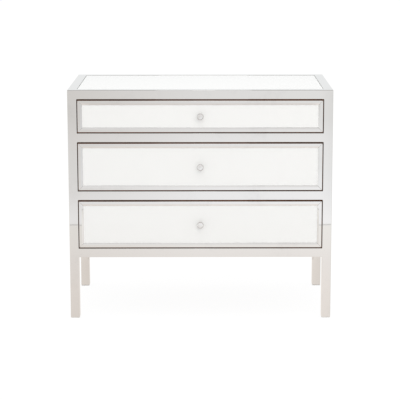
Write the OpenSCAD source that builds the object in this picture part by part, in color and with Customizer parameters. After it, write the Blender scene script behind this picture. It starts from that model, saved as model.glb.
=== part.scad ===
// Nightstand with three inset drawers. A welded frame of polished square tube holds a white
// glass top, lacquered sides and a dark wood interior. Each drawer has a white glass front in a
// mitred metal trim, a dovetailed wood box and a pair of ball-bearing slides.
// X runs across the width, Y from the front to the back and Z up from the floor.

/* [Frame] */
// Width across the legs
frame_w = 864; // [700:1:1100]
// Depth from the front of the front legs to the back of the rear legs
frame_d = 476; // [430:1:560]
// Height of the bottom rails above the floor
floor_gap = 207; // [120:1:300]
// Height of the top drawer's opening
top_opening_h = 111; // [105:1:180]
// Height of the middle drawer's opening
middle_opening_h = 162; // [105:1:260]
// Height of the bottom drawer's opening
bottom_opening_h = 162; // [105:1:260]
// Outside size of the square tube
tube = 30; // [26:1:38]
// Wall thickness of the tube
tube_wall = 1.5; // [1:0.1:3]
// Radius of the tube's long outer edges
tube_r = 1.2; // [0.8:0.1:3]
// Thickness of the pad under each leg
glide_t = 2; // [1.5:0.5:6]
// Height of the plug that holds a pad in its leg
glide_plug_h = 14; // [8:1:25]
// Clearance round that plug
glide_play = 0.3; // [0.2:0.1:0.6]
// How far a pad's edge lies inside its leg
glide_rim = 1; // [0.5:0.5:3]

/* [Top] */
// Thickness of the top's glass
top_glass_t = 6; // [4:0.5:10]
// Thickness of the board under the top's glass
sub_top_t = 15; // [10:1:18]
// Gap between the top's glass and the frame round it
top_gap = 1; // [0.5:0.1:3]
// How far the top's glass lies below the frame's upper face
top_sink = 0.5; // [0:0.5:3]

/* [Case] */
// Thickness of each side panel
side_t = 15; // [12:1:18]
// How far the side panels lie inside the frame's outer face
side_recess = 2; // [0.5:0.5:5]
// Thickness of the back panel
back_t = 9; // [8:1:15]
// How far the back panel lies inside the frame's rear face
back_recess = 3; // [2.5:0.5:8]
// Thickness of the bottom panel
bottom_t = 12; // [9:1:16]
// How far the bottom panel lies below the top of the bottom rails
bottom_drop = 3; // [0:0.5:5]
// Clearance round a panel in the frame
panel_play = 0.5; // [0.2:0.1:0.8]
// Thickness of the welded tabs that carry the panels
tab_t = 3; // [2:0.5:5]
// How far a tab stands out from its tube
tab_reach = 20; // [14:1:30]
// Length of a tab along its tube
tab_len = 30; // [16:1:50]
// How far a batten stands above and below its slide
batten_rim = 14; // [12:1:18]

/* [Drawer fronts] */
// Gap beside a drawer front
side_gap = 3; // [1.5:0.5:5]
// Gap above and below a drawer front
edge_gap = 4; // [1.5:0.5:6]
// How far the trim stands in front of the frame
trim_proud = 3.5; // [0:0.5:6]
// Width of the trim round the glass
trim_w = 14.5; // [11:0.5:22]
// Width of the trim's flat outer land
trim_land = 9; // [2:0.5:9.5]
// How deep the trim's inner slope falls
trim_drop = 2; // [2:0.5:6]
// Thickness of the trim's lip over the glass
trim_lip = 1; // [0.6:0.1:2]
// Gap of the trim's mitred corners
mitre_gap = 0.1; // [0.05:0.05:0.3]
// Thickness of the drawer glass
front_glass_t = 4; // [3:0.5:6]
// How far the glass runs under the trim
glass_lap = 5; // [3:0.5:7]
// Clearance round the glass in the trim
glass_play = 0.5; // [0.3:0.1:0.9]
// Thickness of the board behind the glass
front_board_t = 20; // [12:1:22]
// Clearance round that board in its opening
board_play = 1.2; // [0.6:0.1:1.5]

/* [Knob] */
// Diameter of the knob's head
knob_d = 22; // [16:1:30]
// Distance from the glass to the front of the knob
knob_len = 20; // [17:1:32]
// Thickness of the knob's head
knob_head_t = 8; // [5:0.5:10]
// Height of the dome on the knob's face
knob_dome = 1.2; // [0.5:0.1:2]
// Diameter of the knob's neck
knob_neck_d = 9; // [8:0.5:11]
// Diameter of the knob's foot
knob_foot_d = 14; // [12:0.5:18]
// Thickness of the knob's foot
knob_foot_t = 2; // [1:0.5:3]
// Depth of the threaded hole in the knob
knob_bore_depth = 12; // [8:1:14]

/* [Drawer boxes] */
// Thickness of the box's sides, front and back
box_t = 12; // [10:1:15]
// Thickness of the box's bottom
box_bottom_t = 6; // [4:0.5:9]
// Depth of the groove that holds the box's bottom
groove_depth = 5; // [3:0.5:7]
// Height of that groove above the box's lower edge
groove_up = 10; // [8:1:14]
// Clearance between the box and the opening's lower edge
box_under = 14; // [8:1:20]
// Clearance between the box and the opening's upper edge
box_over = 20; // [10:1:30]
// Clearance between the box and the back panel
box_behind = 52; // [30:1:70]
// Clearance round the box's bottom in its groove
groove_play = 0.3; // [0.1:0.1:0.6]
// Nominal height of one dovetail with its pin
tail_pitch = 26; // [20:1:36]
// Height of a pin at its narrow end
pin_w = 6; // [4:0.5:9]
// How much a dovetail widens over the board's thickness
tail_flare = 4; // [2:0.5:6]

/* [Slides] */
// Thickness of a slide, from the case to the drawer's side
slide_t = 12.7; // [12:0.1:14]
// Height of a slide
slide_h = 36; // [34:1:46]
// Length of a slide
slide_len = 350; // [250:10:355]
// Distance from the frame's front face to a slide
slide_setback = 36; // [31:1:45]
// Height of a slide's middle above the box's lower edge
slide_up = 34; // [30:1:40]
// Thickness of a slide's sheet metal
sheet = 1.2; // [1:0.1:1.5]
// Diameter of a bearing ball
ball_d = 4.5; // [3.5:0.1:5]
// Clearance between a ball and its raceway
ball_play = 0.25; // [0.15:0.05:0.3]
// How far a raceway's lip turns round the balls
race_lip = 1.6; // [1:0.1:1.8]
// Length of a ball cage
cage_len = 96; // [60:1:130]
// Thickness of a ball cage's strip
cage_t = 0.8; // [0.5:0.1:1]
// Balls in one row of a cage
balls_per_row = 4; // [3:1:5]

/* [Screws] */
// Diameter of a screw's shank
screw_d = 4; // [3.5:0.1:4.5]
// Diameter of a screw's head
screw_head_d = 8; // [7:0.5:9]
// Thickness of a screw's head
screw_head_t = 2; // [1.5:0.1:2.4]
// Clearance between a shank and its hole
screw_play = 0.1; // [0.05:0.05:0.3]
// How deep a screw bites into the last piece
screw_bite = 6.5; // [5:0.5:7]
// Depth of the hexagon socket in a screw's head
socket_depth = 1; // [0.6:0.1:1.2]

/* [Hidden] */
$fn = 48;
TOP = 0;
MIDDLE = 1;
BOTTOM = 2;

// Heights of the three openings, by drawer, and of the rails between them.
opening_h = [top_opening_h, middle_opening_h, bottom_opening_h];
bottom_z = floor_gap + tube;
lower_rail_z = bottom_z + bottom_opening_h;
middle_z = lower_rail_z + tube;
upper_rail_z = middle_z + middle_opening_h;
top_z = upper_rail_z + tube;
top_rail_z = top_z + top_opening_h;
frame_h = top_rail_z + tube;
opening_z = [top_z, middle_z, bottom_z];

// Inside of the frame. The frame's front face lies at Y zero until placed() centres the part.
inner_x = frame_w / 2 - tube;
inner_d = frame_d - 2 * tube;
rear_y = frame_d - tube;
span = 2 * inner_x;
inner_r = max(tube_r - tube_wall, 0.5);

// Faces of the panels.
top_glass_z = frame_h - top_sink - top_glass_t;
sub_top_z = top_glass_z - sub_top_t;
bottom_panel_z = bottom_z - bottom_drop - bottom_t;
side_in_x = frame_w / 2 - side_recess - side_t;
back_y = frame_d - back_recess - back_t;

// Tabs, their screws and the battens' screws.
tab_x = inner_x - tab_reach / 2;
tab_rows_y = [tube + inner_d / 6, tube + inner_d * 5 / 6];
tab_rows_z = [lower_rail_z + tube / 2, upper_rail_z + tube / 2];
batten_h = slide_h + 2 * batten_rim;
batten_t = side_in_x - inner_x;
batten_rows_y = [tube + inner_d / 10, tube + inner_d * 9 / 10];
batten_screw_v = (slide_h + batten_rim) / 2;
hole_d = screw_d + 2 * screw_play;

// Drawer fronts, from the trim's front face back to the box.
front_w = span - 2 * side_gap;
trim_y = -trim_proud;
glass_y = trim_y + trim_drop + trim_lip;
board_y = glass_y + front_glass_t;
box_y = board_y + front_board_t;
pocket = trim_w - glass_lap - glass_play;
function front_h(k) = opening_h[k] - 2 * edge_gap;
function front_z(k) = opening_z[k] + opening_h[k] / 2;

// Drawer boxes.
box_half_w = inner_x - slide_t;
box_inner_x = box_half_w - box_t;
box_d = back_y - box_behind - box_y;
function box_z(k) = opening_z[k] + box_under;
function box_h(k) = opening_h[k] - box_under - box_over;
front_screw_x = box_inner_x * 0.85;

// Slides: u counts from the case towards the drawer, v up from the slide's middle.
inner_lip_u = 2 * sheet - 0.4;
ball_u = inner_lip_u + sheet + ball_play + ball_d / 2;
outer_lip_u = ball_u + ball_d / 2 + ball_play;
race_v = slide_h / 2 - sheet;
ball_v = race_v - ball_play - ball_d / 2;
inner_v = ball_v - ball_d / 2 - ball_play;
cage_u = inner_lip_u + 0.2;
cage_w = outer_lip_u + sheet - inner_lip_u - 0.4;
cage_hole_d = ball_d + 0.4;
cage_y = slide_setback + (slide_len - cage_len) / 2;
slide_rows_y = [slide_setback + slide_len / 7, slide_setback + slide_len * 6 / 7];
function slide_z(k) = box_z(k) + slide_up;

// The part's origin is at the middle of its footprint, knobs included.
knob_front_y = glass_y - knob_len;
centre_y = (frame_d + min(knob_front_y, trim_y)) / 2;

module placed() {
    translate([0, -centre_y, 0]) children();
}

module both_sides() {
    children();
    mirror([1, 0, 0]) children();
}

module steel() {
    color([0.80, 0.79, 0.77]) children();
}

module dark_wood() {
    color([0.30, 0.21, 0.15]) children();
}

module pale_wood() {
    color([0.80, 0.69, 0.52]) children();
}

module white_glass() {
    color([0.95, 0.95, 0.94]) children();
}

module zinc() {
    color([0.66, 0.67, 0.68]) children();
}

// A block given by its lowest corner and its highest.
module block(low, high) {
    translate(low) cube(high - low);
}

// Extrudes a (Y, Z) outline along X, from x0 to x1.
module along_x(x0, x1) {
    translate([x0, 0, 0]) rotate([90, 0, 90]) linear_extrude(x1 - x0) children();
}

// Extrudes an (X, Z) outline along Y, from y0 to y1.
module along_y(y0, y1) {
    translate([0, y1, 0]) rotate([90, 0, 0]) linear_extrude(y1 - y0) children();
}

// A square with round corners, centred.
module rounded_square(size, r) {
    square([size - 2 * r, size], center = true);
    square([size, size - 2 * r], center = true);
    for (x = [-1, 1], y = [-1, 1])
        translate([x, y] * (size / 2 - r)) circle(r);
}

module tube_section() {
    difference() {
        rounded_square(tube, tube_r);
        rounded_square(tube - 2 * tube_wall, inner_r);
    }
}

// Holes and screws point along +Z, with the head's seat at Z zero.
module screw_hole(depth) {
    translate([0, 0, -1]) cylinder(d = hole_d, h = depth + 1);
}

module screw(length) {
    difference() {
        union() {
            translate([0, 0, -screw_head_t]) cylinder(d = screw_head_d, h = screw_head_t);
            cylinder(d = screw_d, h = length);
        }
        translate([0, 0, -screw_head_t - 1]) cylinder(d = screw_d * 0.75, h = socket_depth + 1, $fn = 6);
    }
}

// Places on the tabs: the origin is on the tab's free face and +Z points into the panel.
module at_top_tabs() {
    both_sides() for (y = tab_rows_y)
        translate([tab_x, y, sub_top_z - tab_t]) children();
}

module at_bottom_tabs() {
    both_sides() for (y = tab_rows_y)
        translate([tab_x, y, bottom_panel_z - tab_t]) children();
}

module at_side_tabs() {
    both_sides() for (y = [tube + tab_reach / 2, rear_y - tab_reach / 2], z = tab_rows_z)
        translate([side_in_x - tab_t, y, z]) rotate([0, 90, 0]) children();
}

module at_back_tabs() {
    both_sides() for (z = tab_rows_z)
        translate([tab_x, back_y - tab_t, z]) rotate([-90, 0, 0]) children();
}

// Places of the screws on a batten's inner face, where +Z points out through the case.
module at_batten_screws() {
    both_sides() for (k = [TOP, MIDDLE, BOTTOM], y = batten_rows_y, v = [-1, 1] * batten_screw_v)
        translate([inner_x, y, slide_z(k) + v]) rotate([0, 90, 0]) children();
}

// Places of the screws in the outer members' webs, where +Z points into the batten.
module at_outer_screws() {
    both_sides() for (k = [TOP, MIDDLE, BOTTOM], y = slide_rows_y)
        translate([inner_x - sheet, y, slide_z(k)]) rotate([0, 90, 0]) children();
}

// Places of the screws in one drawer's inner members, where +Z points into the box.
module at_inner_screws(k) {
    both_sides() for (y = slide_rows_y)
        translate([box_half_w + sheet, y, slide_z(k)]) rotate([0, -90, 0]) children();
}

// Places of the screws that hold a drawer's front board, where +Z points to the front.
module at_front_screws(k) {
    both_sides() for (v = [0.3, 0.7])
        translate([front_screw_x, box_y + box_t, box_z(k) + v * box_h(k)]) rotate([90, 0, 0]) children();
}

// Place of the screw that holds a drawer's knob, where +Z points to the front.
module at_knob_screw(k) {
    translate([0, box_y + box_t, front_z(k)]) rotate([90, 0, 0]) children();
}

knob_screw_len = box_t + front_board_t + front_glass_t + knob_bore_depth - 2;

module leg(side, y0) {
    steel() placed() translate([side * (frame_w - tube) / 2, y0 + tube / 2, 0]) {
        translate([0, 0, glide_t]) linear_extrude(frame_h - glide_t) tube_section();
        translate([0, 0, frame_h - tube_wall]) linear_extrude(tube_wall)
            rounded_square(tube - tube_wall, inner_r);
    }
}

module cross_rail(y0, z0) {
    steel() placed() translate([0, y0 + tube / 2, z0 + tube / 2])
        along_x(-inner_x, inner_x) tube_section();
}

module side_rail(side, z0) {
    steel() placed() translate([side * (frame_w - tube) / 2, 0, z0 + tube / 2])
        along_y(tube, rear_y) tube_section();
}

module leg_glides() {
    color([0.62, 0.62, 0.60]) placed() both_sides() for (y = [tube / 2, frame_d - tube / 2])
        translate([(frame_w - tube) / 2, y, 0]) {
            linear_extrude(glide_t) rounded_square(tube - 2 * glide_rim, tube_r);
            linear_extrude(glide_t + glide_plug_h)
                rounded_square(tube - 2 * (tube_wall + glide_play), tube_r);
        }
}

module tab(size_x, size_y) {
    difference() {
        translate([-size_x / 2, -size_y / 2, 0]) cube([size_x, size_y, tab_t]);
        screw_hole(tab_t + 1);
    }
}

module support_tabs() {
    steel() placed() {
        at_top_tabs() tab(tab_reach, tab_len);
        at_bottom_tabs() tab(tab_reach, tab_len);
        at_side_tabs() tab(tab_len, tab_reach);
        at_back_tabs() tab(tab_reach, tab_len);
    }
}

// A level panel inside the frame, from height z0, less its screws' holes.
module level_panel(z0, thickness) {
    x = inner_x - panel_play;
    block([-x, tube + panel_play, z0], [x, rear_y - panel_play, z0 + thickness]);
}

module sub_top() {
    dark_wood() placed() difference() {
        level_panel(sub_top_z, sub_top_t);
        at_top_tabs() screw_hole(tab_t + screw_bite);
    }
}

module top_glass() {
    x = inner_x - top_gap;
    white_glass() placed()
        block([-x, tube + top_gap, top_glass_z], [x, rear_y - top_gap, top_glass_z + top_glass_t]);
}

module bottom_panel() {
    dark_wood() placed() difference() {
        level_panel(bottom_panel_z, bottom_t);
        at_bottom_tabs() screw_hole(tab_t + screw_bite);
    }
}

module side_panel(side) {
    low = [side_in_x, tube + panel_play, bottom_z + panel_play];
    high = [side_in_x + side_t, rear_y - panel_play, top_rail_z - panel_play];
    color([0.94, 0.94, 0.93]) placed() difference() {
        mirror([side < 0 ? 1 : 0, 0, 0]) block(low, high);
        at_side_tabs() screw_hole(tab_t + screw_bite);
        at_batten_screws() screw_hole(batten_t + screw_bite);
    }
}

module back_panel() {
    x = inner_x - panel_play;
    low = [-x, back_y, bottom_z + panel_play];
    high = [x, back_y + back_t, top_rail_z - panel_play];
    dark_wood() placed() difference() {
        block(low, high);
        at_back_tabs() screw_hole(tab_t + screw_bite);
    }
}

module slide_battens() {
    dark_wood() placed() difference() {
        both_sides() for (k = [TOP, MIDDLE, BOTTOM])
            block([inner_x, tube + panel_play, slide_z(k) - batten_h / 2],
                [side_in_x, rear_y - panel_play, slide_z(k) + batten_h / 2]);
        at_batten_screws() screw_hole(batten_t + 1);
        at_outer_screws() screw_hole(sheet + screw_bite);
    }
}

module case_screws() {
    zinc() placed() {
        at_top_tabs() screw(tab_t + screw_bite);
        at_bottom_tabs() screw(tab_t + screw_bite);
        at_side_tabs() screw(tab_t + screw_bite);
        at_back_tabs() screw(tab_t + screw_bite);
        at_batten_screws() screw(batten_t + screw_bite);
        at_outer_screws() screw(sheet + screw_bite);
    }
}

module drawer_glass(k) {
    x = front_w / 2 - pocket - glass_play;
    z = front_h(k) / 2 - pocket - glass_play;
    white_glass() placed() difference() {
        translate([0, 0, front_z(k)]) block([-x, glass_y, -z], [x, board_y, z]);
        at_knob_screw(k) screw_hole(knob_screw_len);
    }
}

// One mitred strip of the trim: its outer edge lies at -half on the Z axis.
module trim_strip(length, half) {
    outer = length / 2 - mitre_gap / sqrt(2);
    intersection() {
        along_x(-length / 2, length / 2) polygon([
            [trim_y, -half],
            [trim_y, trim_land - half],
            [trim_y + trim_drop, trim_w - half],
            [glass_y, trim_w - half],
            [glass_y, pocket - half],
            [board_y, pocket - half],
            [board_y, -half],
        ]);
        along_y(trim_y - 1, board_y + 1) polygon([
            [-outer, -half],
            [outer, -half],
            [outer - trim_w, trim_w - half],
            [trim_w - outer, trim_w - half],
        ]);
    }
}

module drawer_trim(k) {
    steel() placed() translate([0, 0, front_z(k)]) {
        for (up = [0, 1]) mirror([0, 0, up]) trim_strip(front_w, front_h(k) / 2);
        both_sides() rotate([0, 90, 0]) trim_strip(front_h(k), front_w / 2);
    }
}

// The board reaches past the trim, so its brown edge shows in the gap round the trim.
module drawer_front_board(k) {
    x = inner_x - board_play;
    z = opening_h[k] / 2 - board_play;
    dark_wood() placed() difference() {
        translate([0, 0, front_z(k)]) block([-x, board_y, -z], [x, box_y, z]);
        at_knob_screw(k) screw_hole(knob_screw_len);
        at_front_screws(k) screw_hole(box_t + screw_bite);
    }
}

// The dovetails of both sides at the box's front corners, each cut through a side's thickness.
module front_tails(k) {
    count = max(round(box_h(k) / tail_pitch), 2);
    pitch = box_h(k) / count;
    wide = (pitch - pin_w) / 2;
    narrow = wide - tail_flare / 2;
    both_sides() for (i = [0 : count - 1])
        translate([0, 0, box_z(k) + (i + 0.5) * pitch]) along_x(box_inner_x, box_half_w) polygon([
            [box_y, -wide],
            [box_y + box_t, -narrow],
            [box_y + box_t, narrow],
            [box_y, wide],
        ]);
}

module rear_tails(k) {
    translate([0, 2 * box_y + box_d, 0]) mirror([0, 1, 0]) front_tails(k);
}

// The groove that runs round inside the box for its bottom.
module bottom_groove(k) {
    x = box_inner_x + groove_depth;
    y = box_t - groove_depth;
    z = box_z(k) + groove_up;
    block([-x, box_y + y, z], [x, box_y + box_d - y, z + box_bottom_t + groove_play]);
}

module drawer_box_sides(k) {
    pale_wood() placed() difference() {
        union() {
            both_sides() block([box_inner_x, box_y + box_t, box_z(k)],
                [box_half_w, box_y + box_d - box_t, box_z(k) + box_h(k)]);
            front_tails(k);
            rear_tails(k);
        }
        bottom_groove(k);
        at_inner_screws(k) screw_hole(sheet + screw_bite);
    }
}

// The box's front or back, which stands between y0 and y0 + box_t.
module box_cross(k, y0) {
    block([-box_half_w, y0, box_z(k)], [box_half_w, y0 + box_t, box_z(k) + box_h(k)]);
}

module drawer_box_front(k) {
    pale_wood() placed() difference() {
        box_cross(k, box_y);
        front_tails(k);
        bottom_groove(k);
        at_knob_screw(k) screw_hole(box_t + 1);
        at_front_screws(k) screw_hole(box_t + 1);
    }
}

module drawer_box_back(k) {
    pale_wood() placed() difference() {
        box_cross(k, box_y + box_d - box_t);
        rear_tails(k);
        bottom_groove(k);
    }
}

module drawer_box_bottom(k) {
    x = box_inner_x + groove_depth - groove_play;
    y = box_t - groove_depth + groove_play;
    z = box_z(k) + groove_up;
    pale_wood() placed()
        block([-x, box_y + y, z], [x, box_y + box_d - y, z + box_bottom_t]);
}

module drawer_knob(k) {
    dome = [for (a = [0 : 15 : 90])
        [knob_d / 2 - knob_dome * (1 - sin(90 - a)), knob_len - knob_dome * (1 - sin(a))]];
    steel() placed() difference() {
        translate([0, glass_y, front_z(k)]) rotate([90, 0, 0]) rotate_extrude() polygon(concat(
            [[0, 0], [knob_foot_d / 2, 0], [knob_foot_d / 2, knob_foot_t]],
            [[knob_neck_d / 2, knob_foot_t + 1], [knob_neck_d / 2, knob_len - knob_head_t]],
            [[knob_d / 2, knob_len - knob_head_t + 1]],
            dome,
            [[0, knob_len]]
        ));
        translate([0, glass_y + 1, front_z(k)]) rotate([90, 0, 0])
            cylinder(d = hole_d, h = knob_bore_depth + 1);
    }
}

module drawer_screws(k) {
    zinc() placed() {
        at_inner_screws(k) screw(sheet + screw_bite);
        at_front_screws(k) screw(box_t + screw_bite);
        at_knob_screw(k) screw(knob_screw_len);
    }
}

// Turns a slide's (u, v) outline into a bar along Y on both sides of the case.
module slide_bar(k, y0, y1) {
    both_sides() translate([inner_x, 0, slide_z(k)]) mirror([1, 0, 0]) along_y(y0, y1) children();
}

// A rectangle given by its lowest corner and its highest, drawn above and below the middle.
module band(low, high) {
    for (s = [0, 1]) mirror([0, s]) translate(low) square(high - low);
}

module slide_outer_members(k) {
    zinc() placed() difference() {
        slide_bar(k, slide_setback, slide_setback + slide_len) {
            translate([0, -slide_h / 2]) square([sheet, slide_h]);
            band([0, race_v], [outer_lip_u + sheet, slide_h / 2]);
            band([outer_lip_u, race_v - race_lip], [outer_lip_u + sheet, slide_h / 2]);
        }
        at_outer_screws() screw_hole(2 * sheet);
    }
}

module slide_inner_members(k) {
    zinc() placed() difference() {
        slide_bar(k, slide_setback, slide_setback + slide_len) {
            translate([slide_t - sheet, -inner_v]) square([sheet, 2 * inner_v]);
            band([inner_lip_u, inner_v - sheet], [slide_t, inner_v]);
            band([inner_lip_u, inner_v - sheet], [inner_lip_u + sheet, inner_v + race_lip]);
        }
        at_inner_screws(k) screw_hole(2 * sheet);
    }
}

// Each cage is a strip along a row of balls, which it carries between the two members.
module slide_ball_cages(k) {
    zinc() placed() {
        difference() {
            slide_bar(k, cage_y, cage_y + cage_len)
                band([cage_u, ball_v - cage_t / 2], [cage_u + cage_w, ball_v + cage_t / 2]);
            at_balls(k) cylinder(d = cage_hole_d, h = 4 * cage_t, center = true);
        }
        at_balls(k) sphere(d = ball_d);
    }
}

module at_balls(k) {
    pitch = cage_len / balls_per_row;
    both_sides() for (i = [0 : balls_per_row - 1], s = [-1, 1])
        translate([inner_x - ball_u, cage_y + (i + 0.5) * pitch, slide_z(k) + s * ball_v]) children();
}

leg(-1, 0);  // front_left_leg
leg(1, 0);  // front_right_leg
leg(-1, rear_y);  // rear_left_leg
leg(1, rear_y);  // rear_right_leg
cross_rail(0, top_rail_z);  // front_top_rail
cross_rail(0, upper_rail_z);  // front_upper_rail
cross_rail(0, lower_rail_z);  // front_lower_rail
cross_rail(0, floor_gap);  // front_bottom_rail
cross_rail(rear_y, top_rail_z);  // rear_top_rail
cross_rail(rear_y, floor_gap);  // rear_bottom_rail
side_rail(-1, top_rail_z);  // left_top_rail
side_rail(-1, floor_gap);  // left_bottom_rail
side_rail(1, top_rail_z);  // right_top_rail
side_rail(1, floor_gap);  // right_bottom_rail
leg_glides();
support_tabs();
sub_top();
top_glass();
side_panel(-1);  // left_side_panel
side_panel(1);  // right_side_panel
back_panel();
bottom_panel();
slide_battens();
case_screws();

drawer_glass(TOP);  // top_drawer_glass
drawer_trim(TOP);  // top_drawer_trim
drawer_front_board(TOP);  // top_drawer_front_board
drawer_box_sides(TOP);  // top_drawer_box_sides
drawer_box_front(TOP);  // top_drawer_box_front
drawer_box_back(TOP);  // top_drawer_box_back
drawer_box_bottom(TOP);  // top_drawer_box_bottom
drawer_knob(TOP);  // top_drawer_knob
drawer_screws(TOP);  // top_drawer_screws
slide_inner_members(TOP);  // top_slide_inner_members
slide_ball_cages(TOP);  // top_slide_ball_cages
slide_outer_members(TOP);  // top_slide_outer_members

drawer_glass(MIDDLE);  // middle_drawer_glass
drawer_trim(MIDDLE);  // middle_drawer_trim
drawer_front_board(MIDDLE);  // middle_drawer_front_board
drawer_box_sides(MIDDLE);  // middle_drawer_box_sides
drawer_box_front(MIDDLE);  // middle_drawer_box_front
drawer_box_back(MIDDLE);  // middle_drawer_box_back
drawer_box_bottom(MIDDLE);  // middle_drawer_box_bottom
drawer_knob(MIDDLE);  // middle_drawer_knob
drawer_screws(MIDDLE);  // middle_drawer_screws
slide_inner_members(MIDDLE);  // middle_slide_inner_members
slide_ball_cages(MIDDLE);  // middle_slide_ball_cages
slide_outer_members(MIDDLE);  // middle_slide_outer_members

drawer_glass(BOTTOM);  // bottom_drawer_glass
drawer_trim(BOTTOM);  // bottom_drawer_trim
drawer_front_board(BOTTOM);  // bottom_drawer_front_board
drawer_box_sides(BOTTOM);  // bottom_drawer_box_sides
drawer_box_front(BOTTOM);  // bottom_drawer_box_front
drawer_box_back(BOTTOM);  // bottom_drawer_box_back
drawer_box_bottom(BOTTOM);  // bottom_drawer_box_bottom
drawer_knob(BOTTOM);  // bottom_drawer_knob
drawer_screws(BOTTOM);  // bottom_drawer_screws
slide_inner_members(BOTTOM);  // bottom_slide_inner_members
slide_ball_cages(BOTTOM);  // bottom_slide_ball_cages
slide_outer_members(BOTTOM);  // bottom_slide_outer_members
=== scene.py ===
"""The looks of a three-drawer nightstand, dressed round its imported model.

A welded frame of polished square tube, white glass top and drawer fronts in mitred metal trim,
turned metal knobs, dark veneered boards and dovetailed birch drawer boxes on zinc-plated slides.
"""

import math

import bmesh
import bpy
from bpy.props import FloatProperty, FloatVectorProperty, IntProperty
from mathutils import Matrix, Vector


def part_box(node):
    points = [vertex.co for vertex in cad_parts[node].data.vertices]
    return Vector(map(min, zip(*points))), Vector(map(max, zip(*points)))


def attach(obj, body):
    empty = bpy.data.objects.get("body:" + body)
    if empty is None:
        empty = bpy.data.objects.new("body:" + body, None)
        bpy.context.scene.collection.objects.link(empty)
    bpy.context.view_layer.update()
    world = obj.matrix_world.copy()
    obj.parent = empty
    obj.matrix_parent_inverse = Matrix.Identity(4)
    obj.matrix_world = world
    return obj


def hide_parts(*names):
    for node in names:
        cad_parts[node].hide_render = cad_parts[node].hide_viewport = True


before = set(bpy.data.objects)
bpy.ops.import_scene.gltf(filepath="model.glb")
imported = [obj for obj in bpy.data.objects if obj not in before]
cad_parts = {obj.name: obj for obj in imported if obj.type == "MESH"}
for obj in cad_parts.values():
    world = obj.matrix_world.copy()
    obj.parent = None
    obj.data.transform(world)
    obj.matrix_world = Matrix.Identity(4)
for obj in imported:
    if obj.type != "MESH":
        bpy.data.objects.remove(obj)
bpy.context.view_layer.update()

bl_info = {
    "name": "Nightstand with glass drawers",
    "version": (1, 0, 0),
    "blender": (4, 5, 0),
    "location": "View3D > Sidebar > Nightstand",
    "description": "Dresses the nightstand's model in polished steel, white glass and wood",
    "category": "Object",
}

MM = 0.001
DRAWERS = ("top", "middle", "bottom")
CABINET = "cabinet"
LEGS = ("front_left_leg", "front_right_leg", "rear_left_leg", "rear_right_leg")
CROSS_RAILS = (
    "front_top_rail", "front_upper_rail", "front_lower_rail", "front_bottom_rail",
    "rear_top_rail", "rear_bottom_rail",
)
SIDE_RAILS = ("left_top_rail", "left_bottom_rail", "right_top_rail", "right_bottom_rail")


# Sizes and colours that a user would change

class FrameSettings(bpy.types.PropertyGroup):
    edge_radius: FloatProperty(
        name="Edge radius", description="Rounding of the tube's edges and of the dressed welds",
        default=1.4 * MM, unit="LENGTH")
    weld_overlap: FloatProperty(
        name="Weld overlap", description="How far a rail runs into a leg before the two are merged",
        default=6 * MM, unit="LENGTH")
    steel_colour: FloatVectorProperty(
        name="Steel", description="Reflection colour of the polished steel",
        default=(0.785, 0.774, 0.762), subtype="COLOR")
    steel_roughness: FloatProperty(
        name="Steel roughness", description="Roughness of the polished steel where it is clean",
        default=0.022)


class TrimSettings(bpy.types.PropertyGroup):
    width: FloatProperty(
        name="Trim width", description="Width of the trim as seen from the front",
        default=14.5 * MM, unit="LENGTH")
    land: FloatProperty(
        name="Land", description="Width of the trim's flat outer edge",
        default=9 * MM, unit="LENGTH")
    fall: FloatProperty(
        name="Fall", description="Depth of the slope from the land to the glass",
        default=2 * MM, unit="LENGTH")
    pocket: FloatProperty(
        name="Pocket", description="Width of the trim beside the pocket that holds the glass",
        default=9 * MM, unit="LENGTH")
    mitre_gap: FloatProperty(
        name="Mitre gap", description="Hairline between two strips at a corner",
        default=0.12 * MM, unit="LENGTH")
    edge_radius: FloatProperty(
        name="Edge radius", description="Rounding of the trim's edges",
        default=0.6 * MM, unit="LENGTH")


class GlassSettings(bpy.types.PropertyGroup):
    arris: FloatProperty(
        name="Arris", description="Width of the ground edge round the top's glass",
        default=1.0 * MM, unit="LENGTH")
    paint_colour: FloatVectorProperty(
        name="Paint", description="White paint behind the glass",
        default=(0.925, 0.920, 0.903), subtype="COLOR")
    edge_colour: FloatVectorProperty(
        name="Glass edge", description="Tint of the glass seen through its edge",
        default=(0.72, 0.75, 0.73), subtype="COLOR")


class KnobSettings(bpy.types.PropertyGroup):
    sides: IntProperty(name="Sides", description="Sides of the turned knob", default=96)
    foot_radius: FloatProperty(
        name="Foot radius", description="Radius of the knob's foot", default=7 * MM, unit="LENGTH")
    neck_radius: FloatProperty(
        name="Neck radius", description="Radius of the knob's neck", default=4.5 * MM, unit="LENGTH")
    head_depth: FloatProperty(
        name="Head depth", description="Thickness of the knob's head", default=8 * MM, unit="LENGTH")
    dish_depth: FloatProperty(
        name="Dish", description="Depth of the shallow dish in the knob's face",
        default=0.5 * MM, unit="LENGTH")


class WoodSettings(bpy.types.PropertyGroup):
    edge_radius: FloatProperty(
        name="Eased edge", description="Rounding of the boards' edges",
        default=0.6 * MM, unit="LENGTH")
    dark_low: FloatVectorProperty(
        name="Dark veneer, pores", description="Darkest colour of the brown veneer",
        default=(0.04, 0.016, 0.005), subtype="COLOR")
    dark_high: FloatVectorProperty(
        name="Dark veneer", description="Lightest colour of the brown veneer",
        default=(0.25, 0.085, 0.022), subtype="COLOR")
    birch_low: FloatVectorProperty(
        name="Birch, late wood", description="Darkest colour of the birch",
        default=(0.49, 0.34, 0.19), subtype="COLOR")
    birch_high: FloatVectorProperty(
        name="Birch", description="Lightest colour of the birch",
        default=(0.74, 0.58, 0.38), subtype="COLOR")


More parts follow.
